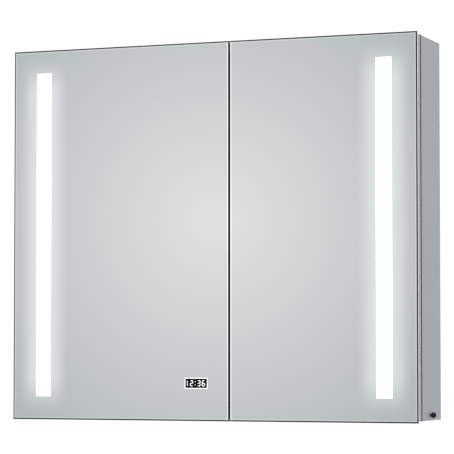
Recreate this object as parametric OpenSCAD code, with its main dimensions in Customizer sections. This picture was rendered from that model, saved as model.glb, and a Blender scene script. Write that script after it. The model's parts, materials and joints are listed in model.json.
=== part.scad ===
// Wall-hung mirror cabinet with two lit, double-mirrored doors of unequal width.
// Frame: X to the right seen from the front, the doors face -Y, Z up.
// Origin: centre of the back face, on the wall plane y = 0.

/* [Overall] */
// Width over the closed doors
cabinet_w = 800; // [760:10:1000]
// Height of the doors
cabinet_h = 700; // [660:10:900]
// Depth from the wall to the mirror face
cabinet_d = 155; // [150:1:180]
// Share of the width that the left door covers
left_share = 0.55; // [0.5:0.01:0.6]

/* [Doors] */
// Thickness of a closed door, mirror face to mirror face
door_t = 25; // [25:1:28]
// Thickness of each mirror pane
pane_t = 4; // [3:0.5:4]
// Width of the ground bevel around a pane
bevel = 1; // [0.5:0.1:1.5]
// Gap between the two doors
middle_gap = 1.6; // [1.6:0.1:4]
// Gap between a closed door and the body
back_gap = 4; // [4:0.5:5]
// Setback of the frame profile from the side edges of the panes
frame_inset = 2.5; // [2:0.1:3]
// Setback of the frame profile and the inner pane from the ends of the front pane
frame_end = 3; // [2.5:0.5:4]
// Width of the frame profile
frame_w = 20; // [20:1:26]
// Wall of the frame profile
frame_wall = 1.5; // [1.2:0.1:1.5]

/* [Lights] */
// Width of the frosted window in a front mirror
window_w = 30; // [20:1:36]
// Distance from the window to the top and bottom of the door
window_end = 44; // [40:1:80]
// Distance from the outer door edge to the middle of the window
window_in = 63; // [56:1:90]
// Pitch of the light-emitting diodes
led_pitch = 25; // [20:1:40]

/* [Clock] */
// Width of the dark clock window
clock_w = 43; // [40:1:50]
// Height of the dark clock window
clock_h = 17.4; // [14:0.2:20]
// Line of bare glass around the clock window
clock_line = 1.2; // [1:0.1:2]
// Distance from the free edge of the left door to the clock's middle
clock_in = 64.4; // [50:0.2:120]
// Distance from the bottom of the door to the clock's middle
clock_up = 69.4; // [50:0.2:120]
// Height of the digits
digit_h = 11; // [9:0.5:12]
// Hour shown by its second digit
hour_digit = 2; // [0:1:9]
// Tens of minutes
ten_digit = 3; // [0:1:5]
// Minutes
minute_digit = 6; // [0:1:9]

/* [Body] */
// Setback of the body from the edge of the doors, all round
body_inset = 3; // [3:0.5:6]
// Thickness of the side, top and floor panels
panel_t = 10; // [9:0.5:12]
// Thickness of the back panel
back_t = 8; // [6:1:10]
// Thickness of the partition
partition_t = 15; // [15:1:20]
// Clear height of the service bay under the floor
bay_h = 26.5; // [26:0.5:40]
// Thickness of the cover below the service bay
cover_t = 2.5; // [2:0.1:2.5]

/* [Shelves] */
// Thickness of a glass shelf
shelf_t = 6; // [5:0.5:8]
// Height of the lower shelves, from the middle of the cabinet
lower_shelf_z = -95; // [-140:5:-60]
// Height of the upper shelves, from the middle of the cabinet
upper_shelf_z = 120; // [60:5:160]
// Pitch of the holes for the shelf pins
pin_pitch = 32; // [25:1:32]

/* [Hinges] */
// Distance from the hinges to the top and bottom of the doors
hinge_end = 110; // [90:5:150]
// Radius of a hinge pin
pin_r = 2; // [1.5:0.1:2]
// Radial clearance of the pin in the arm
pin_play = 0.05; // [0.02:0.01:0.08]
// Distance of the hinge axis from the outer door edge
axis_in = 9.5; // [9.5:0.1:10]
// Distance from the hinge axis to the straight part of the arm
arm_reach = 17; // [17:0.5:18]

/* [Switch] */
// Distance from the mirror face to the switch axis
switch_back = 85.4; // [60:0.2:110]
// Distance from the bottom of the body to the switch axis
switch_up = 9.8; // [8.6:0.1:12]
// Travel of the switch button
switch_travel = 1.2; // [0.8:0.1:1.2]

/* [Wall fixing] */
// Distance between the wall bolts across the cabinet
bolt_dx = 660; // [500:10:660]
// Distance between the wall bolts up the cabinet
bolt_dz = 540; // [400:10:540]
// Radius of a wall bolt hole
bolt_r = 4; // [3:0.5:5]
// Radius of the cable entry
cable_r = 4; // [3:0.5:5]

/* [Hidden] */
$fn = 48;
eps = 0.01;
LEFT = -1;
RIGHT = 1;

// Planes along Y, from the room to the wall
face_y = -cabinet_d;
frame_front_y = face_y + pane_t;
frame_back_y = face_y + door_t - pane_t;
door_back_y = face_y + door_t;
body_front_y = door_back_y + back_gap;
back_front_y = -back_t;

// Planes along X and Z
half_w = cabinet_w / 2;
half_h = cabinet_h / 2;
divide_x = cabinet_w * (left_share - 0.5);
body_x = half_w - body_inset;
body_z = half_h - body_inset;
inner_x = body_x - panel_t;
ceiling_z = body_z - panel_t;
cover_top_z = -body_z + cover_t;
floor_under_z = cover_top_z + bay_h;
floor_z = floor_under_z + panel_t;
shelf_heights = [lower_shelf_z, upper_shelf_z];

// Hinges: the axis runs up the middle of the door's thickness
hinge_z = half_h - hinge_end;
axis_x = half_w - axis_in;
axis_y = face_y + door_t / 2;
arm_t = 3;
arm_h = 22;
arm_play = 2;
arm_tail_y = body_front_y + 56;
knuckle_r = 4.5;
arm_out_x = axis_x - arm_reach + arm_t / 2;
arm_in_x = arm_out_x - arm_t;
notch_in_x = arm_in_x - 1;
notch_out_x = half_w - frame_inset - frame_wall;
notch_front_y = axis_y - knuckle_r - 1;
notch_h = arm_h + 2 * arm_play;
block_h = 60;
bumper_play = 0.2;
plate_ends_y = [body_front_y + 12, body_front_y + 58];
plate_h = 40;
plate_foot_t = 2.5;
hinge_screw_y = [body_front_y + 22, body_front_y + 46];
hinge_screw_len = inner_x - arm_in_x + 7;
screw_r = 1.75;
screw_head_r = 3.5;
screw_head_h = 2;

// Lights
window_z = half_h - window_end;
tray_w = window_w + 6;
tray_end = 4;
tray_back_y = frame_back_y - 3;
tray_wall = 1.5;
board_w = 12;
board_t = 1.6;
led_size = 5;
led_t = 1.5;

// Clock
clock_x = divide_x - middle_gap / 2 - clock_in;
clock_z = -half_h + clock_up;
digit_w = digit_h * 0.55;
stroke = digit_h * 0.12;
digit_t = 0.5;
clock_module_t = 11;

// Switch
switch_y = face_y + switch_back;
switch_z = -body_z + switch_up;
thread_r = 4.95;
thread_play = 0.05;
stem_r = 3.05;
stem_play = 0.05;
flange_r = 6;
flange_t = 0.8;
cap_gap = 0.2;
ball_r = 5.5;
ball_offset = 3.5;
nut_across = 12;
nut_t = 3;
thread_in = 14;
spring_len = 9;
spring_turns = 5;
spring_r = 2.3;
spring_wire_r = 0.4;
spring_steps = 14;
spring_sides = 6;

// Shelf pins
shelf_pin_r = 2.5;
pin_hole_depth = 8;
pin_reach = 7;
pin_play_r = 0.05;
shelf_play = 2;
shelf_chamfer = 1;
shelf_front_y = body_front_y + 9;
shelf_back_y = back_front_y - 4;
pin_rows_y = [shelf_front_y + 16, shelf_back_y - 20];

// Service bay
driver_x = 190;
terminal_x = 70;
grommet_x = 0;
grommet_z = (cover_top_z + floor_under_z) / 2;
grommet_r = 8;
driver_size = [150, 42, 22];
terminal_size = [34, 18, 14];
wire_r = 1.2;

// Flexible leads to the doors
lead_r = 2.5;
lead_play = 0.1;
lead_x = inner_x - 13;
lead_y = body_front_y + 14;
lead_bend = 12;
lead_z = floor_z + 22;
lead_top_z = lead_z + lead_bend;

function outer_x(side) = side * half_w;
function free_x(side) = divide_x + side * middle_gap / 2;
function frame_outer_x(side) = side * (half_w - frame_inset);
function frame_free_x(side) = free_x(side) + side * frame_inset;
function window_x(side) = side * (half_w - window_in);
function bay_left_x(side) = side == LEFT ? -inner_x : divide_x + partition_t / 2;
function bay_right_x(side) = side == LEFT ? divide_x - partition_t / 2 : inner_x;

// ---------- shared shapes ----------

// A box between two opposite corners, given in any order
module block(a, b) {
    lo = [for (i = [0:2]) min(a[i], b[i])];
    hi = [for (i = [0:2]) max(a[i], b[i])];
    translate(lo) cube(hi - lo);
}

// A cylinder along X or along Y from the given point
module rod_x(p, r, len) translate(p) rotate([0, 90, 0]) cylinder(r = r, h = len);
module rod_y(p, r, len) translate(p) rotate([-90, 0, 0]) cylinder(r = r, h = len);

// Removes the bevel from the four edges of a pane's visible face, which lies at y
module bevel_cut(x0, x1, y, z0, z1) {
    side = bevel * sqrt(2);
    for (x = [x0, x1]) translate([x, y, (z0 + z1) / 2])
        rotate([0, 0, 45]) cube([side, side, abs(z1 - z0) + 4], center = true);
    for (z = [z0, z1]) translate([(x0 + x1) / 2, y, z])
        rotate([45, 0, 0]) cube([abs(x1 - x0) + 4, side, side], center = true);
}

// The space that a hinge arm sweeps inside a door, up to the outer wall of the frame profile
module hinge_notches(side) {
    for (z = [-hinge_z, hinge_z])
        block([side * notch_in_x, notch_front_y, z - notch_h / 2],
              [side * notch_out_x, door_back_y + 5, z + notch_h / 2]);
}

// A countersunk cross-head screw along +X, its head's face at the origin
module screw(len) {
    difference() {
        union() {
            rotate([0, 90, 0]) cylinder(r1 = screw_head_r, r2 = screw_r, h = screw_head_h);
            rod_x([0, 0, 0], screw_r, len);
        }
        for (a = [0, 90]) rotate([a, 0, 0]) cube([2, 0.9, 4.4], center = true);
    }
}

module screw_hole(len) {
    rotate([0, 90, 0]) cylinder(r1 = screw_head_r, r2 = screw_r, h = screw_head_h);
    rod_x([-eps, 0, 0], screw_r, len + eps);
}

// Places its children at each hinge screw of one side, pointing outwards
module at_hinge_screws(side) {
    for (z = [-hinge_z, hinge_z], y = hinge_screw_y)
        translate([side * arm_in_x, y, z])
            rotate([0, side == RIGHT ? 0 : 180, 0]) children();
}

// The rows of holes for shelf pins, seen from the side of one compartment
module pin_holes(x, dir) {
    for (h = shelf_heights, row = [-1:1], y = pin_rows_y)
        translate([x, y, h - shelf_pin_r + row * pin_pitch]) rotate([0, dir * 90, 0])
            translate([0, 0, -eps]) cylinder(r = shelf_pin_r + pin_play_r, h = pin_hole_depth + eps);
}

// ---------- body ----------

module side_panel(side) color([0.65, 0.67, 0.68]) difference() {
    block([side * inner_x, body_front_y, -body_z], [side * body_x, 0, body_z]);
    pin_holes(side * inner_x, side);
    at_hinge_screws(side) screw_hole(hinge_screw_len + 1);
    if (side == RIGHT)
        rod_x([inner_x - 1, switch_y, switch_z], thread_r + thread_play, panel_t + 2);
}

module top_panel() color([0.66, 0.68, 0.69])
    block([-inner_x, body_front_y, ceiling_z], [inner_x, 0, body_z]);

module floor_panel() color([0.66, 0.68, 0.69]) difference() {
    block([-inner_x, body_front_y, floor_under_z], [inner_x, back_front_y, floor_z]);
    for (side = [LEFT, RIGHT]) translate([side * lead_x, lead_y, floor_under_z - 1])
        cylinder(r = lead_r + lead_play, h = panel_t + 2);
}

module service_fascia() color([0.6, 0.62, 0.63])
    block([-inner_x, body_front_y, cover_top_z], [inner_x, body_front_y + 3, floor_under_z]);

// Cover below the bay, with slots that let the driver's heat out
module bottom_cover() color([0.6, 0.62, 0.63]) difference() {
    block([-inner_x, body_front_y, -body_z], [inner_x, 0, cover_top_z]);
    for (i = [0:9]) translate([driver_x - 54 + 12 * i, -72, -body_z - 1])
        cube([4, 36, cover_t + 2]);
    for (x = [-300, 0, 300], y = [body_front_y + 12, -16]) translate([x, y, -body_z - eps])
        cylinder(r = screw_r, h = cover_t + 1);
}

module cover_screws() color([0.75, 0.75, 0.76])
    for (x = [-300, 0, 300], y = [body_front_y + 12, -16]) translate([x, y, -body_z]) {
        cylinder(r = screw_r, h = 9);
        translate([0, 0, cover_t]) cylinder(r = 3, h = 2.4, $fn = 6);
    }

module back_panel() color([0.7, 0.72, 0.73]) difference() {
    block([-inner_x, back_front_y, cover_top_z], [inner_x, 0, ceiling_z]);
    for (x = [-1, 1], z = [-1, 1])
        rod_y([x * bolt_dx / 2, back_front_y - 1, z * bolt_dz / 2], bolt_r, back_t + 2);
    rod_y([grommet_x, back_front_y - 1, grommet_z], grommet_r, back_t + 2);
}

module centre_partition() color([0.66, 0.68, 0.69]) difference() {
    block([divide_x - partition_t / 2, body_front_y, floor_z],
          [divide_x + partition_t / 2, back_front_y, ceiling_z]);
    pin_holes_in_partition();
    for (side = [LEFT, RIGHT]) rod_y([divide_x + side * partition_t / 4, body_front_y - 1, 0], 3, 7);
}

// The two rows back to back leave a web of material between them
module pin_holes_in_partition() {
    depth = partition_t / 2 - 1.5;
    for (side = [LEFT, RIGHT], h = shelf_heights, row = [-1:1], y = pin_rows_y)
        translate([divide_x + side * (partition_t / 2 + eps), y, h - shelf_pin_r + row * pin_pitch])
            rotate([0, -side * 90, 0]) cylinder(r = shelf_pin_r + pin_play_r, h = depth + eps);
}

module shelf(side, z) color([0.7, 0.85, 0.82, 0.5]) difference() {
    x0 = bay_left_x(side) + shelf_play;
    x1 = bay_right_x(side) - shelf_play;
    block([x0, shelf_front_y, z], [x1, shelf_back_y, z + shelf_t]);
    for (edge_z = [z, z + shelf_t]) translate([(x0 + x1) / 2, shelf_front_y, edge_z])
        rotate([45, 0, 0]) cube([x1 - x0 + 4, shelf_chamfer, shelf_chamfer], center = true);
}

module shelf_pins() color([0.8, 0.8, 0.82]) {
    web_depth = partition_t / 2 - 1.5;
    for (side = [LEFT, RIGHT], h = shelf_heights, y = pin_rows_y) {
        wall_in = side == LEFT ? pin_hole_depth : web_depth;
        wall_out = side == LEFT ? web_depth : pin_hole_depth;
        rod_x([bay_left_x(side) - wall_in, y, h - shelf_pin_r], shelf_pin_r, wall_in + pin_reach);
        rod_x([bay_right_x(side) - pin_reach, y, h - shelf_pin_r], shelf_pin_r, wall_out + pin_reach);
    }
}

module wall_plates() color([0.75, 0.76, 0.78])
    for (x = [-1, 1], z = [-1, 1]) difference() {
        translate([x * bolt_dx / 2, back_front_y - 1, z * bolt_dz / 2]) cube([60, 2, 40], center = true);
        rod_y([x * bolt_dx / 2, back_front_y - 3, z * bolt_dz / 2], bolt_r, 4);
    }

module cable_grommet() color([0.1, 0.1, 0.1]) difference() {
    union() {
        rod_y([grommet_x, back_front_y, grommet_z], grommet_r, back_t);
        rod_y([grommet_x, back_front_y - 2, grommet_z], grommet_r + 3, 2);
    }
    rod_y([grommet_x, back_front_y - 3, grommet_z], cable_r, back_t + 4);
}

// ---------- service bay ----------

module led_driver() color([0.9, 0.9, 0.9]) {
    y0 = body_front_y + 51;
    difference() {
        union() {
            translate([driver_x - driver_size.x / 2, y0, cover_top_z]) cube(driver_size);
            translate([driver_x - driver_size.x / 2 - 12, y0 + 8, cover_top_z])
                cube([driver_size.x + 24, driver_size.y - 16, 2]);
        }
        for (dir = [-1, 1])
            translate([driver_x + dir * (driver_size.x / 2 + 6), y0 + driver_size.y / 2, cover_top_z - 1])
                cylinder(r = 2, h = 4);
        for (i = [-3:3]) translate([driver_x + 16 * i, y0 + 21, cover_top_z + driver_size.z])
            cube([8, 30, 2], center = true);
    }
}

module terminal_block() color([0.93, 0.93, 0.9]) difference() {
    translate([terminal_x - terminal_size.x / 2, -40, cover_top_z]) cube(terminal_size);
    for (i = [-1:1]) {
        translate([terminal_x + 10 * i, -40 + terminal_size.y / 2, cover_top_z + terminal_size.z - 4])
            cylinder(r = 2.5, h = 5);
        rod_y([terminal_x + 10 * i, -41, cover_top_z + 5], wire_r + 0.6, 6);
    }
}

// Insulated wires: terminal to driver, and driver to switch, each with round corners
module wire(points) {
    for (i = [0:len(points) - 2]) {
        run = points[i + 1] - points[i];
        along_x = abs(run.x) > 0;
        translate(points[i]) rotate(along_x ? [0, 90 * sign(run.x), 0] : [-90 * sign(run.y), 0, 0])
            cylinder(r = wire_r, h = norm(run), $fn = 16);
    }
    for (i = [1:len(points) - 2]) translate(points[i]) sphere(r = wire_r, $fn = 16);
}

module bay_wires() color([0.85, 0.5, 0.1]) {
    z = cover_top_z + 5;
    driver_left = driver_x - driver_size.x / 2;
    driver_right = driver_x + driver_size.x / 2;
    driver_y = body_front_y + 51;
    for (i = [0:1]) {
        wire([[terminal_x + 10 * i, -40, z], [terminal_x + 10 * i, -52 + 6 * i, z],
              [driver_left, -52 + 6 * i, z]]);
        wire([[driver_right, driver_y + 8 + 6 * i, z], [inner_x - 46 + 6 * i, driver_y + 8 + 6 * i, z],
              [inner_x - 46 + 6 * i, switch_y - 2 + 4 * i, z], [inner_x - 26, switch_y - 2 + 4 * i, z]]);
    }
}

// ---------- switch ----------

module switch_housing() color([0.12, 0.12, 0.13]) difference() {
    union() {
        rod_x([inner_x - thread_in, switch_y, switch_z], thread_r, panel_t + thread_in);
        rod_x([body_x, switch_y, switch_z], flange_r, flange_t);
        translate([inner_x - thread_in - 12, switch_y - 6, switch_z - 5.5]) cube([12, 12, 11]);
    }
    rod_x([inner_x - thread_in, switch_y, switch_z], stem_r + stem_play, panel_t + thread_in + 5);
}

module switch_nut() color([0.78, 0.78, 0.8]) difference() {
    translate([inner_x - nut_t, switch_y, switch_z]) rotate([0, 90, 0])
        cylinder(r = nut_across / sqrt(3), h = nut_t, $fn = 6);
    rod_x([inner_x - nut_t - 1, switch_y, switch_z], thread_r, nut_t + 2);
}

// Coil spring: a helix of round wire, swept as one closed surface
function spring_point(i, j) =
    let (turn = 360 * i / spring_steps, around = 360 * j / spring_sides,
         r = spring_r + spring_wire_r * cos(around),
         rise = spring_wire_r + (spring_len - 2 * spring_wire_r) * i / (spring_steps * spring_turns))
    [rise + spring_wire_r * sin(around), r * cos(turn), r * sin(turn)];

module switch_spring() color([0.7, 0.7, 0.72]) {
    rings = spring_steps * spring_turns;
    sides = spring_sides;
    points = [for (i = [0:rings], j = [0:sides - 1]) spring_point(i, j)];
    walls = [for (i = [0:rings - 1], j = [0:sides - 1]) let (k = (j + 1) % sides)
        [i * sides + j, i * sides + k, (i + 1) * sides + k, (i + 1) * sides + j]];
    start = [for (j = [sides - 1:-1:0]) j];
    end = [for (j = [0:sides - 1]) rings * sides + j];
    translate([inner_x - thread_in, switch_y, switch_z])
        polyhedron(points = points, faces = concat(walls, [start, end]));
}

// A stem that ends in a ball, cut flat where it faces the flange
module switch_button() color([0.05, 0.05, 0.06]) {
    cap_x = body_x + flange_t + switch_travel + cap_gap;
    stem_x = inner_x - thread_in + spring_len;
    rod_x([stem_x, switch_y, switch_z], stem_r, cap_x - stem_x);
    translate([cap_x, switch_y, switch_z]) rotate([0, 90, 0]) rotate_extrude() intersection() {
        square([ball_r + 1, ball_offset + ball_r + 1]);
        translate([0, ball_offset]) circle(r = ball_r);
    }
}

// ---------- hinges and catches ----------

// Spacers that hold the arms off the side panel, each with a wide foot
module hinge_plates(side) color([0.78, 0.78, 0.8]) difference() {
    for (z = [-hinge_z, hinge_z]) {
        block([side * arm_out_x, plate_ends_y[0], z - arm_h / 2],
              [side * inner_x, plate_ends_y[1], z + arm_h / 2]);
        block([side * (inner_x - plate_foot_t), plate_ends_y[0], z - plate_h / 2],
              [side * inner_x, plate_ends_y[1], z + plate_h / 2]);
    }
    at_hinge_screws(side) screw_hole(hinge_screw_len + 1);
}

// From the pin across the frame profile, then straight back beside the plate, for the right side
module arm_outline() {
    cut = 1.2;
    front_y = axis_y - arm_t / 2;
    polygon([[axis_x, front_y + arm_t], [arm_out_x, front_y + arm_t], [arm_out_x, arm_tail_y],
             [arm_in_x, arm_tail_y], [arm_in_x, front_y + cut], [arm_in_x + cut, front_y],
             [axis_x, front_y]]);
    translate([axis_x, axis_y]) circle(r = knuckle_r);
}

module hinge_arms(side) color([0.72, 0.72, 0.74]) difference() {
    for (z = [-hinge_z, hinge_z]) mirror([side == RIGHT ? 0 : 1, 0, 0])
        translate([0, 0, z - arm_h / 2]) linear_extrude(arm_h) arm_outline();
    for (z = [-hinge_z, hinge_z])
        translate([side * axis_x, axis_y, z - arm_h]) cylinder(r = pin_r + pin_play, h = 2 * arm_h);
    at_hinge_screws(side) screw_hole(hinge_screw_len + 1);
}

module hinge_screws() color([0.8, 0.8, 0.82])
    for (side = [LEFT, RIGHT]) at_hinge_screws(side) screw(hinge_screw_len);

module hinge_blocks(side) color([0.6, 0.6, 0.62])
    for (z = [-hinge_z, hinge_z]) difference() {
        block([side * notch_out_x, frame_front_y + frame_wall, z - block_h / 2],
              [side * (half_w - frame_inset - frame_w), frame_back_y - frame_wall, z + block_h / 2]);
        hinge_notches(side);
        translate([side * axis_x, axis_y, z - block_h]) cylinder(r = pin_r, h = 2 * block_h);
    }

module hinge_pins(side) color([0.8, 0.8, 0.82])
    for (z = [-hinge_z, hinge_z])
        translate([side * axis_x, axis_y, z - block_h / 2 + 1]) cylinder(r = pin_r, h = block_h - 2);

module door_bumpers() color([0.85, 0.86, 0.87])
    for (side = [LEFT, RIGHT], z = [-hinge_z, hinge_z])
        rod_y([divide_x + side * (partition_t / 4 + 0.4), door_back_y + bumper_play, z],
              3, back_gap - bumper_play);

module catch_magnets() color([0.35, 0.35, 0.37])
    for (side = [LEFT, RIGHT]) rod_y([divide_x + side * partition_t / 4, body_front_y, 0], 3, 6);

module catch_plate(side) color([0.78, 0.79, 0.8])
    rod_y([divide_x + side * 7, door_back_y, 0], 5, 1);

// Lead from the service bay up through the floor and forward into the door
module door_lead(side) color([0.12, 0.12, 0.12]) {
    translate([side * lead_x, lead_y, floor_under_z]) cylinder(r = lead_r, h = lead_z - floor_under_z);
    translate([side * lead_x, lead_y - lead_bend, lead_z]) rotate([90, 0, 90])
        rotate_extrude(angle = 90) translate([lead_bend, 0]) circle(r = lead_r);
    rod_y([side * lead_x, frame_back_y, lead_top_z], lead_r, lead_y - lead_bend - frame_back_y);
}

// ---------- doors ----------

module front_mirror(side) color([0.8, 0.83, 0.83]) difference() {
    block([outer_x(side), face_y, -half_h], [free_x(side), frame_front_y, half_h]);
    bevel_cut(outer_x(side), free_x(side), face_y, -half_h, half_h);
    block([window_x(side) - window_w / 2, face_y - 1, -window_z],
          [window_x(side) + window_w / 2, frame_front_y + 1, window_z]);
    if (side == LEFT) clock_opening(clock_line, 1);
}

module light_window(side) color([1, 1, 1])
    block([window_x(side) - window_w / 2, face_y, -window_z],
          [window_x(side) + window_w / 2, frame_front_y, window_z]);

module light_tray(side) color([0.85, 0.85, 0.86]) difference() {
    z = window_z + tray_end;
    block([window_x(side) - tray_w / 2, frame_front_y, -z], [window_x(side) + tray_w / 2, tray_back_y, z]);
    block([window_x(side) - tray_w / 2 + tray_wall, frame_front_y - 1, -z + tray_wall],
          [window_x(side) + tray_w / 2 - tray_wall, tray_back_y - tray_wall, z - tray_wall]);
}

module led_strip(side) color([0.95, 0.93, 0.8]) {
    y = tray_back_y - tray_wall - board_t;
    z = window_z - 2;
    count = floor(2 * (z - led_size) / led_pitch);
    block([window_x(side) - board_w / 2, y, -z], [window_x(side) + board_w / 2, y + board_t, z]);
    for (i = [0:count]) translate([window_x(side), y - led_t / 2, (i - count / 2) * led_pitch])
        cube([led_size, led_t, led_size], center = true);
}

// The frame is one mitred ring of C profile, open to the inside of the door
module frame_ring(side) {
    x0 = frame_outer_x(side);
    x1 = frame_free_x(side);
    z = half_h - frame_end;
    difference() {
        block([x0, frame_front_y, -z], [x1, frame_back_y, z]);
        block([x0 - side * frame_w, frame_front_y - 1, -z + frame_w],
              [x1 + side * frame_w, frame_back_y + 1, z - frame_w]);
        block([x0 - side * frame_wall, frame_front_y + frame_wall, -z + frame_wall],
              [x1 + side * frame_wall, frame_back_y - frame_wall, z - frame_wall]);
    }
}

// A prism through the door that keeps what lies inside an outline drawn in X and Z
module keep(points) translate([0, frame_back_y + 1, 0]) rotate([90, 0, 0])
    linear_extrude(door_t) polygon(points);

module rail(side, up) color([0.78, 0.79, 0.8]) intersection() {
    x0 = frame_outer_x(side);
    x1 = frame_free_x(side);
    z = up * (half_h - frame_end);
    frame_ring(side);
    keep([[x0, z], [x1, z], [x1 + side * frame_w, z - up * frame_w], [x0 - side * frame_w, z - up * frame_w]]);
}

module stile(side, x, dir) color([0.78, 0.79, 0.8]) intersection() {
    z = half_h - frame_end;
    frame_ring(side);
    keep([[x, -z], [x, z], [x + dir * frame_w, z - frame_w], [x + dir * frame_w, -z + frame_w]]);
}

module hinge_stile(side) difference() {
    stile(side, frame_outer_x(side), -side);
    hinge_notches(side);
}

module free_stile(side) stile(side, frame_free_x(side), side);

module inner_mirror(side) color([0.75, 0.79, 0.79]) difference() {
    z = half_h - frame_end;
    block([outer_x(side), frame_back_y, -z], [free_x(side), door_back_y, z]);
    bevel_cut(outer_x(side), free_x(side), door_back_y, -z, z);
    hinge_notches(side);
    rod_y([side * lead_x, frame_back_y - 1, lead_top_z], lead_r, pane_t + 2);
}

// ---------- clock ----------

module clock_opening(margin, over) {
    w = clock_w / 2 + margin;
    h = clock_h / 2 + margin;
    block([clock_x - w, face_y - over, clock_z - h], [clock_x + w, frame_front_y + over, clock_z + h]);
}

module clock_surround() color([1, 1, 1]) difference() {
    clock_opening(clock_line, 0);
    clock_opening(0, 1);
}

// One bar of a digit, with pointed ends, centred and lying along the first axis
module bar(len) {
    a = len / 2;
    b = stroke / 2;
    polygon([[-a, 0], [b - a, b], [a - b, b], [a, 0], [a - b, -b], [b - a, -b]]);
}

// Bars in order: top, upper right, lower right, bottom, lower left, upper left, middle
BARS = [
    [1, 1, 1, 1, 1, 1, 0], [0, 1, 1, 0, 0, 0, 0], [1, 1, 0, 1, 1, 0, 1], [1, 1, 1, 1, 0, 0, 1],
    [0, 1, 1, 0, 0, 1, 1], [1, 0, 1, 1, 0, 1, 1], [1, 0, 1, 1, 1, 1, 1], [1, 1, 1, 0, 0, 0, 0],
    [1, 1, 1, 1, 1, 1, 1], [1, 1, 1, 1, 0, 1, 1],
];

module digit(n) {
    w = (digit_w - stroke) / 2;
    h = (digit_h - stroke) / 2;
    slack = 0.25;
    places = [[0, h, 0], [w, h / 2, 90], [w, -h / 2, 90], [0, -h, 0],
              [-w, -h / 2, 90], [-w, h / 2, 90], [0, 0, 0]];
    for (i = [0:6]) if (BARS[n][i] == 1)
        translate([places[i].x, places[i].y]) rotate(places[i].z)
            bar((places[i].z == 0 ? 2 * w : h) - slack);
}

// The time, with a narrow 1 in the first place
module time_outline() {
    at = [-0.405, -0.213, -0.041, 0.128, 0.336] * clock_w;
    translate([at[0] - (digit_w - stroke) / 2, 0]) digit(1);
    translate([at[1], 0]) digit(hour_digit);
    for (z = [-1, 1]) translate([at[2], z * digit_h / 4]) square(stroke, center = true);
    translate([at[3], 0]) digit(ten_digit);
    translate([at[4], 0]) digit(minute_digit);
}

module clock_digits() color([0.95, 0.97, 0.96])
    translate([clock_x, face_y + digit_t, clock_z]) rotate([90, 0, 0])
        linear_extrude(digit_t) time_outline();

module clock_lens() color([0.02, 0.02, 0.02]) difference() {
    clock_opening(0, 0);
    translate([clock_x, face_y + digit_t, clock_z]) rotate([90, 0, 0])
        linear_extrude(digit_t + 1) time_outline();
}

module clock_module() color([0.15, 0.15, 0.16])
    block([clock_x - clock_w / 2 - 4, frame_front_y, clock_z - clock_h / 2 - 4],
          [clock_x + clock_w / 2 + 4, frame_front_y + clock_module_t, clock_z + clock_h / 2 + 4]);

// ---------- output ----------

side_panel(LEFT);  // left_side_panel
side_panel(RIGHT);  // right_side_panel
top_panel();
floor_panel();
service_fascia();
bottom_cover();
cover_screws();
back_panel();
centre_partition();
shelf(LEFT, upper_shelf_z);  // left_upper_shelf
shelf(LEFT, lower_shelf_z);  // left_lower_shelf
shelf(RIGHT, upper_shelf_z);  // right_upper_shelf
shelf(RIGHT, lower_shelf_z);  // right_lower_shelf
shelf_pins();
wall_plates();
cable_grommet();
led_driver();
terminal_block();
bay_wires();
switch_housing();
switch_nut();
switch_spring();
switch_button();
hinge_plates(LEFT);  // left_hinge_plates
hinge_plates(RIGHT);  // right_hinge_plates
hinge_arms(LEFT);  // left_hinge_arms
hinge_arms(RIGHT);  // right_hinge_arms
hinge_screws();
door_bumpers();
catch_magnets();
door_lead(LEFT);  // left_door_lead
door_lead(RIGHT);  // right_door_lead
front_mirror(LEFT);  // left_front_mirror
light_window(LEFT);  // left_light_window
light_tray(LEFT);  // left_light_tray
led_strip(LEFT);  // left_led_strip
rail(LEFT, 1);  // left_top_rail
rail(LEFT, -1);  // left_bottom_rail
hinge_stile(LEFT);  // left_hinge_stile
free_stile(LEFT);  // left_free_stile
inner_mirror(LEFT);  // left_inner_mirror
hinge_blocks(LEFT);  // left_hinge_blocks
hinge_pins(LEFT);  // left_hinge_pins
catch_plate(LEFT);  // left_catch_plate
clock_surround();
clock_lens();
clock_digits();
clock_module();
front_mirror(RIGHT);  // right_front_mirror
light_window(RIGHT);  // right_light_window
light_tray(RIGHT);  // right_light_tray
led_strip(RIGHT);  // right_led_strip
rail(RIGHT, 1);  // right_top_rail
rail(RIGHT, -1);  // right_bottom_rail
hinge_stile(RIGHT);  // right_hinge_stile
free_stile(RIGHT);  // right_free_stile
inner_mirror(RIGHT);  // right_inner_mirror
hinge_blocks(RIGHT);  // right_hinge_blocks
hinge_pins(RIGHT);  // right_hinge_pins
catch_plate(RIGHT);  // right_catch_plate
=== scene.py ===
"""Looks for the wall-hung mirror cabinet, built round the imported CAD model."""
import json
import math

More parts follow.
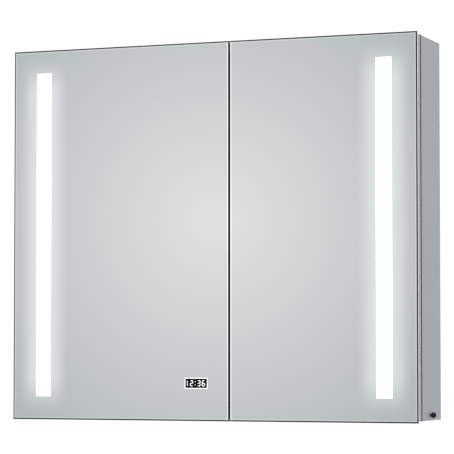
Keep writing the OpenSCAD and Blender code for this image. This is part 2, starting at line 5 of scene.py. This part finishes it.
import bmesh
import bpy
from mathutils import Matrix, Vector

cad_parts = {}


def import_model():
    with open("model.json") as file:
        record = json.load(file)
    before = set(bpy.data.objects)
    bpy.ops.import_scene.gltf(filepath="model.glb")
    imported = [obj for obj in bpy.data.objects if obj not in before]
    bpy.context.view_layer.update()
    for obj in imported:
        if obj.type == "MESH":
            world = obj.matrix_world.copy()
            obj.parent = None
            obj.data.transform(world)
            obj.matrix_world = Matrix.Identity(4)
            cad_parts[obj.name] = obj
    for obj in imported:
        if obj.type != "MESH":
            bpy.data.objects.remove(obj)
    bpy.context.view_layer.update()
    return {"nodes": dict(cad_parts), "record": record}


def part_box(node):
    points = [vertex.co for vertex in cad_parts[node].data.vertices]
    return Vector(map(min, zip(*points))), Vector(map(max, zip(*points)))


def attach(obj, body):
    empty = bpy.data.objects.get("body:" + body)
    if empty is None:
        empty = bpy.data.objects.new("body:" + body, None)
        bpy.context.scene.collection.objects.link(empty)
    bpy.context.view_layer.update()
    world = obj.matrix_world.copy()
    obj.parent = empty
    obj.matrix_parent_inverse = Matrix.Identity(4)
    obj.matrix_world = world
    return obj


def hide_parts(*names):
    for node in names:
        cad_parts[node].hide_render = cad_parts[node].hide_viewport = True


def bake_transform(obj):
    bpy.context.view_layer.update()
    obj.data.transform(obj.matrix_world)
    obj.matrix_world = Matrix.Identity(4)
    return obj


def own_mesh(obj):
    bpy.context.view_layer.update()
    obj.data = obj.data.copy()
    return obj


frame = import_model()
NODES = frame["nodes"]
BODY_OF = {node: body for body, members in frame["record"]["behaviour"]["bodies"].items()
           for node in members}
SLOT_OF = {part["node"]: part["material_slot"] for part in frame["record"]["subparts"]}
SIDES = ("left", "right")

# ---------- places taken from the frame ----------

MIRRORS = {side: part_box(f"{side}_front_mirror") for side in SIDES}
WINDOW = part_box("right_light_window")
FACE_Y = MIRRORS["left"][0].y
HALF_W = MIRRORS["right"][1].x
HALF_H = MIRRORS["right"][1].z
DIVIDE_X = (MIRRORS["left"][1].x + MIRRORS["right"][0].x) / 2
HALF_GAP = (MIRRORS["right"][0].x - MIRRORS["left"][1].x) / 2


# ---------- node helpers ----------

# Where nearly all of a noise's values lie
NOISE_SPAN = (0.3, 0.7)
# A normal's largest part, above which its face is square to an axis
SQUARE_TO_AXIS = 0.98


class Nodes:
    """A node tree, with short calls for the nodes that the world and the finishes use."""

    def __init__(self, tree):
        self.tree = tree

    def node(self, kind, **settings):
        made = self.tree.nodes.new(kind)
        for key, value in settings.items():
            setattr(made, key, value)
        return made

    def feed(self, value, socket):
        if isinstance(value, bpy.types.NodeSocket):
            self.tree.links.new(value, socket)
        else:
            socket.default_value = value

    def place(self, stretch=(1, 1, 1)):
        coords = self.node("ShaderNodeTexCoord")
        mapping = self.node("ShaderNodeMapping")
        mapping.inputs["Scale"].default_value = stretch
        self.feed(coords.outputs["Object"], mapping.inputs["Vector"])
        return mapping.outputs["Vector"]

    def noise(self, scale, detail=3.0, stretch=(1, 1, 1)):
        tex = self.node("ShaderNodeTexNoise")
        tex.inputs["Scale"].default_value = scale
        tex.inputs["Detail"].default_value = detail
        self.feed(self.place(stretch), tex.inputs["Vector"])
        return tex.outputs["Fac"]

    def ranged(self, value, start, end, low, high, kind="LINEAR"):
        made = self.node("ShaderNodeMapRange", interpolation_type=kind)
        self.feed(value, made.inputs["Value"])
        for name, number in (("From Min", start), ("From Max", end), ("To Min", low), ("To Max", high)):
            made.inputs[name].default_value = number
        return made.outputs["Result"]

    def vary(self, noise, low, high):
        """Stretches the middle of a noise, where nearly all of it lies, over a range."""
        return self.ranged(noise, *NOISE_SPAN, low, high)

    def math(self, operation, a, b=0.0):
        made = self.node("ShaderNodeMath", operation=operation)
        self.feed(a, made.inputs[0])
        self.feed(b, made.inputs[1])
        return made.outputs[0]

    def both(self, a, b):
        return self.math("MULTIPLY", a, b)

    def above(self, a, b):
        return self.math("GREATER_THAN", a, b)

    def below(self, a, b):
        return self.math("LESS_THAN", a, b)

    def distance(self, value, middle):
        return self.math("ABSOLUTE", self.math("SUBTRACT", value, middle))

    def mix(self, factor, a, b):
        """Mixes two colours, or two numbers."""
        plain = isinstance(a, (int, float)) or isinstance(b, (int, float))
        made = self.node("ShaderNodeMix", data_type="FLOAT" if plain else "RGBA")
        self.feed(factor, made.inputs[0])
        # The Mix node lists its sockets for numbers first, and those for colours after them
        first, second, result = (2, 3, 0) if plain else (6, 7, 2)
        for value, index in ((a, first), (b, second)):
            listed = isinstance(value, (list, tuple))
            self.feed((*value, 1.0) if listed else value, made.inputs[index])
        return made.outputs[result]


class Net(Nodes):
    """A material's node tree and its shader."""

    def __init__(self, name):
        self.material = bpy.data.materials.new(name)
        self.material.use_nodes = True
        super().__init__(self.material.node_tree)
        self.shader = self.tree.nodes["Principled BSDF"]
        self.axes = None

    def set(self, **values):
        for name, value in values.items():
            self.feed(value, self.shader.inputs[name.replace("_", " ")])
        return self

    def axis(self, name):
        if self.axes is None:
            self.axes = self.node("ShaderNodeSeparateXYZ")
            self.feed(self.place(), self.axes.inputs[0])
        return self.axes.outputs[name]

    def tilt(self):
        """1 on faces that aren't square to an axis, such as broken edges."""
        parts = self.node("ShaderNodeSeparateXYZ")
        self.feed(self.node("ShaderNodeNewGeometry").outputs["True Normal"], parts.inputs[0])
        sizes = [self.math("ABSOLUTE", parts.outputs[name]) for name in "XYZ"]
        largest = self.math("MAXIMUM", self.math("MAXIMUM", *sizes[:2]), sizes[2])
        return self.below(largest, SQUARE_TO_AXIS)

    def bump(self, height, strength, distance):
        made = self.node("ShaderNodeBump")
        made.inputs["Strength"].default_value = strength
        made.inputs["Distance"].default_value = distance
        self.feed(height, made.inputs["Height"])
        self.feed(made.outputs["Normal"], self.shader.inputs["Normal"])
        return self


def darker(tone, share):
    return [c * share for c in tone]


# ---------- finishes: metal, plastic and board ----------

# How noises are stretched for a grain drawn along Z, and for wiped smears
DRAWN = (1, 1, 0.02)
WIPED = (1, 1, 0.3)


def anodised(name, tone, roughness, metallic, edge_share):
    """Satin anodised metal: a fine drawn grain, faint cloudy variation and duller broken edges."""
    net = Net(name)
    grain = net.noise(900.0, 4.0, DRAWN)
    cloud = net.noise(5.0, 2.0)
    flat = net.mix(net.vary(cloud, 0.0, 1.0), darker(tone, 0.975), tone)
    net.set(Base_Color=net.mix(net.tilt(), flat, darker(tone, edge_share)), Metallic=metallic,
            Roughness=net.vary(grain, roughness - 0.05, roughness + 0.07))
    return net.bump(grain, strength=0.12, distance=0.0002).material


def plated(name, tone, roughness):
    """Plated steel or zinc: small smears and a fine tumbled grain."""
    net = Net(name)
    smear = net.noise(60.0, 3.0, WIPED)
    grain = net.noise(3000.0, 2.0)
    net.set(Base_Color=net.mix(smear, darker(tone, 0.96), tone), Metallic=1.0,
            Roughness=net.vary(smear, roughness - 0.02, roughness + 0.04))
    return net.bump(grain, strength=0.04, distance=0.00005).material


def plastic(name, tone, roughness, texture, depth=0.00006):
    """Moulded plastic, laminate or rubber with a fine surface texture."""
    net = Net(name)
    spark = net.noise(texture, 3.0)
    cloud = net.noise(40.0, 2.0)
    net.set(Base_Color=net.mix(cloud, darker(tone, 0.96), tone),
            Roughness=net.vary(spark, roughness - 0.06, roughness + 0.06))
    return net.bump(spark, strength=0.2, distance=depth).material


# Depth of a diode's front that counts as its lit face, in metres
DIODE_FACE = 0.0002
PHOSPHOR = (0.9, 0.75, 0.2)


def led_board():
    """White solder mask with yellow phosphor on the diodes, which stand in front of it."""
    net = Net("led_board")
    diode = net.below(net.axis("Y"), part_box("left_led_strip")[0].y + DIODE_FACE)
    cloud = net.noise(80.0, 2.0)
    mask = net.mix(cloud, (0.80, 0.80, 0.76), (0.86, 0.86, 0.83))
    net.set(Base_Color=net.mix(diode, mask, PHOSPHOR), Roughness=net.vary(cloud, 0.3, 0.45))
    return net.material


# ---------- finishes: glass and light ----------

# Widths on the panes, in metres
EDGE_SEAL = 0.0015
FREE_SEAL = 0.0004
BEVEL = 0.001
BRIGHT_LINE = 0.0022
GLOW_REACH = 0.039
# Where the painted glow fades past the end of a window, from full to none
GLOW_END = (-0.04, 0.035)
# How far from a free edge the painted highlight line along it gives way to the fainter painted line
# round the door
FREE_LINE = (0.004, 0.008)
# How close to a face a point counts as on it
ON_FACE = 0.00006

# Strength of the painted light in the glass, emission that makes it glow though it is no lamp: round the
# windows, in the free and the outer highlight lines, and in the ground edge
PAINTED_GLOW_LIGHT = 0.68
PAINTED_FREE_LINE_HIGHLIGHT = 0.34
PAINTED_OUTER_LINE_HIGHLIGHT = 0.11
GROUND_EDGE_PAINTED_GLOW = 0.42
GLASS_LIGHT = (0.96, 0.985, 1.0)

SILVER = (0.90, 0.925, 0.925)
BACK_PAINT = (0.93, 0.94, 0.95)
# Near black: a sealed rim on the front panes; on the inner panes the same colour is painted shade for
# the gap behind the door.
SEAL_AND_SHADE = (0.010, 0.012, 0.012)
GROUND_EDGE = (0.76, 0.83, 0.80)
# Share of the silver's colour that is left where the window's painted glow is full
SILVER_IN_GLOW = 0.15
PAINT_METALLIC = 0.7
# Roughness of unsilvered faces, and its range on the mirror faces
DULL = 0.4
POLISHED = (0.004, 0.016)


def insets(net, seal):
    """How far in a point lies from the outer seal, and from the doors' free edges."""
    side = net.math("SUBTRACT", HALF_W - seal, net.math("ABSOLUTE", net.axis("X")))
    end = net.math("SUBTRACT", HALF_H - seal, net.math("ABSOLUTE", net.axis("Z")))
    free = net.math("SUBTRACT", net.distance(net.axis("X"), DIVIDE_X), HALF_GAP)
    return net.math("MINIMUM", side, end), free


def painted_window_glow(net):
    """How much of the glass's look is a painted glow round the lit windows, from 0 to 1."""
    low, high = WINDOW
    from_middle = net.distance(net.math("ABSOLUTE", net.axis("X")), (low.x + high.x) / 2)
    beside = net.math("SUBTRACT", from_middle, (high.x - low.x) / 2)
    beyond = net.math("SUBTRACT", net.math("ABSOLUTE", net.axis("Z")), high.z)
    return net.both(net.ranged(beside, 0.0, GLOW_REACH, 1.0, 0.0, "SMOOTHSTEP"),
                    net.ranged(beyond, *GLOW_END, 1.0, 0.0, "SMOOTHSTEP"))


def mirror_gloss(net, silvered, painted):
    """Sets how a pane reflects on its silvered, painted and plain faces, and returns its material."""
    smear = net.noise(14.0, 4.0)
    net.set(Metallic=net.math("MAXIMUM", silvered, net.both(painted, PAINT_METALLIC)),
            Roughness=net.mix(silvered, DULL, net.vary(smear, *POLISHED)), Specular_IOR_Level=0.3)
    return net.material


def front_glass():
    """Silvered glass with a dark sealed rim and a painted highlight line inside it, silver paint behind,
    and a ground outer edge with a painted glow on it."""
    net = Net("front_silvered_glass")
    low, high = MIRRORS["left"]
    y = net.axis("Y")
    outer, free = insets(net, EDGE_SEAL)
    inset = net.math("MINIMUM", outer, net.math("SUBTRACT", free, FREE_SEAL))
    silvered = net.both(net.below(y, low.y + ON_FACE), net.above(inset, BEVEL))
    painted = net.above(y, high.y - ON_FACE)
    ground = net.both(net.below(outer, ON_FACE - EDGE_SEAL), net.above(y, low.y + BEVEL))
    # Painted glow: emission round the lit windows, with the silver under it darkened.
    glow = net.both(painted_window_glow(net), silvered)
    # Painted highlight: a line of emission just inside the dark rim.
    line = net.both(net.below(inset, BEVEL + BRIGHT_LINE), silvered)
    painted_highlight = net.both(line, net.ranged(free, *FREE_LINE, PAINTED_FREE_LINE_HIGHLIGHT, PAINTED_OUTER_LINE_HIGHLIGHT))
    glass = net.mix(ground, net.mix(painted, SEAL_AND_SHADE, BACK_PAINT), GROUND_EDGE)
    silver = net.mix(glow, SILVER, darker(SILVER, SILVER_IN_GLOW))
    painted_face_light = net.math("ADD", net.both(glow, PAINTED_GLOW_LIGHT), painted_highlight)
    # The ground edge carries a painted glow, added as emission.
    light = net.math("ADD", painted_face_light, net.both(ground, GROUND_EDGE_PAINTED_GLOW))
    net.set(Base_Color=net.mix(silvered, glass, silver),
            Emission_Color=(*GLASS_LIGHT, 1.0), Emission_Strength=light)
    return mirror_gloss(net, silvered, painted)


def inner_glass():
    """The pane behind: its mirror faces into the cabinet, and its edges and a thin rim on every side are
    painted near black, as painted shade for the gap between the door and the cabinet.
    """
    net = Net("inner_silvered_glass")
    low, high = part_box("left_inner_mirror")
    y = net.axis("Y")
    outer, free = insets(net, 0.0)
    inset = net.math("MINIMUM", outer, free)
    silvered = net.both(net.above(y, high.y - ON_FACE), net.above(inset, BEVEL))
    painted = net.both(net.below(y, low.y + ON_FACE), net.above(inset, BEVEL))
    # Where the pane is neither silvered nor painted, its edges and rim are painted near black as painted
    # shade for the gap behind the door.
    net.set(Base_Color=net.mix(silvered, net.mix(painted, SEAL_AND_SHADE, BACK_PAINT), darker(SILVER, 0.97)))
    return mirror_gloss(net, silvered, painted)


def lit(name, colour, strength, dim):
    """Frosted glass or a display, lit from behind, slightly dimmer in places."""
    net = Net(name)
    frost = net.noise(2500.0, 2.0)
    cloud = net.noise(30.0, 1.0)
    net.set(Base_Color=(*colour, 1.0), Roughness=net.vary(frost, 0.45, 0.65),
            Emission_Color=(*colour, 1.0), Emission_Strength=net.vary(cloud, strength * dim, strength))
    return net.bump(frost, strength=0.1, distance=0.00005).material


def clear_glass():
    """Clear float glass, faintly green, with barely uneven faces."""
    net = Net("shelf_glass")
    waves = net.noise(12.0, 1.0)
    net.set(Base_Color=(0.88, 0.965, 0.94, 1.0), Roughness=net.vary(waves, 0.0, 0.015),
            Transmission_Weight=1.0, IOR=1.5)
    return net.bump(waves, strength=0.01, distance=0.0001).material


def smoked_glass():
    """The clock's dark window, nearly black and barely glossy."""
    net = Net("clock_window")
    cloud = net.noise(60.0, 2.0)
    net.set(Base_Color=net.mix(cloud, (0.0015, 0.0015, 0.002), (0.003, 0.003, 0.004)),
            Roughness=net.vary(cloud, 0.10, 0.14), Specular_IOR_Level=0.05)
    return net.material


FINISH = {
    "anodised_aluminium": anodised("anodised_sheet", (0.607, 0.625, 0.648), 0.5, 0.35, 0.5),
    "frame_profile": anodised("clear_anodised_profile", (0.94, 0.95, 0.96), 0.3, 0.8, 0.8),
    "front_mirror": front_glass(),
    "inner_mirror": inner_glass(),
    "lit_window": lit("frosted_light", (1.0, 1.0, 1.0), 0.85, 0.97),
    "clock_light": lit("clock_light", (0.92, 0.96, 0.96), 0.45, 0.85),
    "shelf_glass": clear_glass(),
    "fastener_steel": plated("zinc_plated_steel", (0.72, 0.72, 0.74), 0.28),
    "hinge_zinc": plated("nickel_plated_zinc", (0.70, 0.69, 0.67), 0.22),
    "rubber_black": plastic("black_rubber", (0.02, 0.02, 0.02), 0.7, 1500.0),
    "bumper_clear": plastic("soft_bumper", (0.75, 0.76, 0.77), 0.35, 800.0),
    "magnet": plated("magnet_steel", (0.35, 0.35, 0.37), 0.4),
    # The driver's case is painted darker than its own colour, as painted shade in the cover's slots in
    # front of it.
    "driver_case": plastic("driver_case", (0.10, 0.10, 0.105), 0.5, 1400.0),
    "terminal_plastic": plastic("terminal_plastic", (0.80, 0.78, 0.70), 0.45, 1200.0),
    "wire_insulation": plastic("wire_insulation", (0.55, 0.16, 0.03), 0.4, 900.0),
    "circuit_board": led_board(),
    "black_plastic": plastic("black_moulding", (0.03, 0.03, 0.033), 0.42, 1600.0),
    "button_black": plastic("button_black", (0.002, 0.002, 0.002), 0.12, 1200.0, 0.00001),
    "clock_black": smoked_glass(),
    "white_board": plastic("white_laminate", (0.80, 0.80, 0.79), 0.4, 700.0),
}

# Nodes that look different from the rest of their slot
OWN_FINISH = {
    "switch_housing": plated("bright_ring", (0.95, 0.95, 0.95), 0.2),
    "clock_surround": lit("clock_line", (1.0, 1.0, 1.0), 0.45, 0.97),
}


def dress(piece, node):
    piece.data.materials.clear()
    piece.data.materials.append(OWN_FINISH.get(node, FINISH[SLOT_OF[node]]))


for node, cad in NODES.items():
    dress(cad, node)


# ---------- pieces that stand for CAD nodes ----------

SHARP = math.radians(35)
# Points closer than this are one, in metres, and faces that turn less than this are one flat face
SAME_POINT = 1e-6
FLAT = math.radians(0.3)
EDGE_SEGMENTS = 2


def new_piece(name, mesh, node):
    """A piece that stands for a CAD node and takes its finish."""
    piece = bpy.data.objects.new(name, mesh)
    bpy.context.scene.collection.objects.link(piece)
    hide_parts(node)
    dress(piece, node)
    return piece


def applied(piece):
    """Makes the piece's modifiers part of its mesh."""
    evaluated = piece.evaluated_get(bpy.context.evaluated_depsgraph_get())
    mesh = bpy.data.meshes.new_from_object(evaluated)
    piece.modifiers.clear()
    piece.data = mesh


def plain_mesh(node):
    """A CAD node's mesh with whole flat faces and no shading of its own."""
    shape = bmesh.new()
    shape.from_mesh(NODES[node].data)
    bmesh.ops.remove_doubles(shape, verts=shape.verts, dist=SAME_POINT)
    bmesh.ops.dissolve_limit(shape, angle_limit=FLAT, verts=shape.verts, edges=shape.edges)
    mesh = bpy.data.meshes.new(f"{node}_shape")
    shape.to_mesh(mesh)
    shape.free()
    mesh.shade_smooth()
    return mesh


def softened(node, width):
    """Adds a copy of a CAD node with its sharp edges broken, which stands for that node."""
    piece = new_piece(f"{node}_piece", plain_mesh(node), node)
    edge = piece.modifiers.new("edge", "BEVEL")
    edge.width = width
    edge.segments = EDGE_SEGMENTS
    edge.limit_method = "ANGLE"
    edge.angle_limit = SHARP
    applied(piece)
    piece.data.set_sharp_from_angle(angle=SHARP)
    level = piece.modifiers.new("level", "WEIGHTED_NORMAL")
    level.keep_sharp = True
    applied(piece)
    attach(piece, BODY_OF[node])


# Width of the broken edges, in metres, and the nodes that have them
BROKEN_EDGES = {
    0.0005: ["left_side_panel", "right_side_panel", "top_panel", "floor_panel", "centre_partition",
             "service_fascia", "bottom_cover", "back_panel", "led_driver", "terminal_block",
             "left_hinge_plates", "right_hinge_plates", "left_hinge_arms", "right_hinge_arms",
             "left_hinge_blocks", "right_hinge_blocks", "cable_grommet", "clock_module",
             "left_upper_shelf", "left_lower_shelf", "right_upper_shelf", "right_lower_shelf"],
    0.00025: [f"{side}_{part}" for side in SIDES
              for part in ("top_rail", "bottom_rail", "hinge_stile", "free_stile", "catch_plate")]
             + ["switch_housing", "switch_button", "switch_nut", "wall_plates", "door_bumpers"],
}
for width, nodes in BROKEN_EDGES.items():
    for node in nodes:
        softened(node, width)


# ---------- leads to the doors ----------

LEAD_SIDES = 16
RINGS_IN_BEND = 14
# Spacing of the rings on the straight parts, and radius of the bend, in metres
RING_PITCH = 0.0015
LEAD_BEND = 0.012


def tube(name, path, radius):
    """A round tube along a path that lies in a plane square to X."""
    across = Vector((1, 0, 0))
    shape = bmesh.new()
    rings = []
    for i, point in enumerate(path):
        along = (path[min(i + 1, len(path) - 1)] - path[max(i - 1, 0)]).normalized()
        up = along.cross(across)
        rings.append([shape.verts.new(point + radius * (across * math.cos(turn) + up * math.sin(turn)))
                      for turn in (2 * math.pi * k / LEAD_SIDES for k in range(LEAD_SIDES))])
    for near, far in zip(rings, rings[1:]):
        for k in range(LEAD_SIDES):
            j = (k + 1) % LEAD_SIDES
            shape.faces.new((near[k], near[j], far[j], far[k]))
    shape.faces.new(rings[0][::-1])
    shape.faces.new(rings[-1])
    bmesh.ops.recalc_face_normals(shape, faces=shape.faces)
    mesh = bpy.data.meshes.new(name)
    shape.to_mesh(mesh)
    shape.free()
    mesh.shade_smooth()
    mesh.set_sharp_from_angle(angle=SHARP)
    return mesh


def steps(start, end):
    """Points from the start to just before the end, about a ring's pitch apart."""
    count = max(1, round((end - start).length / RING_PITCH))
    return [start.lerp(end, i / count) for i in range(count)]


def door_lead(side):
    """From the service bay up through the floor, round a bend and forward into the door."""
    node = f"{side}_door_lead"
    low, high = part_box(node)
    radius = (high.x - low.x) / 2
    x = (low.x + high.x) / 2
    foot = Vector((x, high.y - radius, low.z))
    end = Vector((x, low.y, high.z - radius))
    hub = Vector((x, foot.y - LEAD_BEND, end.z - LEAD_BEND))
    arc = [hub + LEAD_BEND * Vector((0, math.cos(turn), math.sin(turn)))
           for turn in (math.pi / 2 * i / RINGS_IN_BEND for i in range(RINGS_IN_BEND))]
    path = steps(foot, arc[0]) + arc + steps(hub + Vector((0, 0, LEAD_BEND)), end) + [end]
    piece = new_piece(f"{side}_lead", tube(f"{side}_lead", path, radius), node)
    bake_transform(piece)


for side in SIDES:
    door_lead(side)


# ---------- switch spring ----------

def switch_spring():
    """The coil spring, which shortens as the button goes in on the real switch; here it is a
    smooth-shaded copy of the CAD spring that rides with the cabinet.
    """
    mesh = NODES["switch_spring"].data.copy()
    mesh.shade_smooth()
    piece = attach(new_piece("coil_spring", mesh, "switch_spring"), "cabinet")
    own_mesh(piece)


switch_spring()


# ---------- stage, light and camera ----------

# How far the floor lies below the cabinet, and half its width, in metres
FLOOR_DROP = 4.0
FLOOR_SIZE = 40.0
# Camera, in metres from the middle of the mirror face, its heading to the left of straight on, its tilt
# up, its lens in millimetres and its upward shift
CAMERA_AT = Vector((1.5441, -3.8801, -0.2285))
CAMERA_YAW = math.radians(21.243)
CAMERA_TILT = math.radians(2.656)
CAMERA_LENS = 179.94
CAMERA_SHIFT = 0.05
# Width of the camera's sensor in millimetres, and how far it sees in metres
CAMERA_SENSOR = 36.0
CAMERA_REACH = 100.0
# The bright patch of the studio: the point on the mirrors where it shows, from the middle of their face,
# its width as an angle, and the tones inside and outside it
PATCH_CENTRE = Vector((0.012, 0.0, 0.021))
PATCH_WIDTH = math.radians(8)
PATCH_TONE = (0.832, 0.818, 0.816)
ROOM_TONE = (0.450, 0.477, 0.481)
# The studio's level where it is seen directly, and where it lights matt surfaces
BACKDROP = 1.05
AMBIENT = 0.80


def floor():
    """A plain pale floor, which glossy surfaces don't show."""
    mesh = bpy.data.meshes.new("floor")
    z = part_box("left_side_panel")[0].z - FLOOR_DROP
    corners = [(x * FLOOR_SIZE, y * FLOOR_SIZE, z) for x, y in ((-1, -1), (1, -1), (1, 1), (-1, 1))]
    mesh.from_pydata(corners, [], [(0, 1, 2, 3)])
    plane = bpy.data.objects.new("floor", mesh)
    bpy.context.scene.collection.objects.link(plane)
    plane.visible_glossy = False
    net = Net("pale_floor")
    net.set(Base_Color=(0.86, 0.86, 0.86, 1.0), Roughness=net.vary(net.noise(3.0), 0.75, 0.85))
    mesh.materials.append(net.material)


def world():
    """White where seen directly and a bright even light on matt surfaces; what mirrors show is a pale
    grey room with one soft bright patch."""
    studio = bpy.data.worlds.new("studio")
    bpy.context.scene.world = studio
    studio.use_nodes = True
    net = Nodes(studio.node_tree)
    sight = PATCH_CENTRE - CAMERA_AT
    coords = net.node("ShaderNodeTexCoord")
    aim = net.node("ShaderNodeVectorMath", operation="DOT_PRODUCT")
    net.feed(coords.outputs["Generated"], aim.inputs[0])
    net.feed(Vector((sight.x, -sight.y, sight.z)).normalized(), aim.inputs[1])
    angle = net.math("ARCCOSINE", aim.outputs["Value"])
    room = net.mix(net.ranged(angle, 0.0, PATCH_WIDTH, 0.0, 1.0), PATCH_TONE, ROOM_TONE)
    ray = net.node("ShaderNodeLightPath")
    lit_or_room = net.mix(ray.outputs["Is Diffuse Ray"], room, (AMBIENT,) * 3)
    seen = net.mix(ray.outputs["Is Camera Ray"], lit_or_room, (BACKDROP,) * 3)
    net.feed(seen, net.tree.nodes["Background"].inputs["Color"])


def softbox(name, at, size, power, mirrored):
    """A large area light that points at the cabinet, and shows in glossy surfaces if it is mirrored."""
    lamp = bpy.data.lights.new(name, "AREA")
    lamp.shape = "RECTANGLE"
    lamp.size, lamp.size_y = size
    lamp.energy = power
    light = bpy.data.objects.new(name, lamp)
    light.location = at
    light.rotation_euler = (-Vector(at)).to_track_quat("-Z", "Y").to_euler()
    light.visible_glossy = mirrored
    bpy.context.scene.collection.objects.link(light)


def camera():
    data = bpy.data.cameras.new("camera")
    data.lens = CAMERA_LENS
    data.sensor_width = CAMERA_SENSOR
    data.shift_y = CAMERA_SHIFT
    data.clip_end = CAMERA_REACH
    made = bpy.data.objects.new("camera", data)
    made.location = Vector((0.0, FACE_Y, 0.0)) + CAMERA_AT
    made.rotation_euler = (math.pi / 2 + CAMERA_TILT, 0.0, CAMERA_YAW)
    bpy.context.scene.collection.objects.link(made)
    bpy.context.scene.camera = made


floor()
world()
softbox("overhead", at=(0.0, -1.5, 3.2), size=(2.0, 2.0), power=60.0, mirrored=True)
softbox("front", at=(-1.0, -3.5, 1.0), size=(2.5, 2.0), power=40.0, mirrored=False)
camera()

bpy.context.scene.view_settings.view_transform = "Standard"
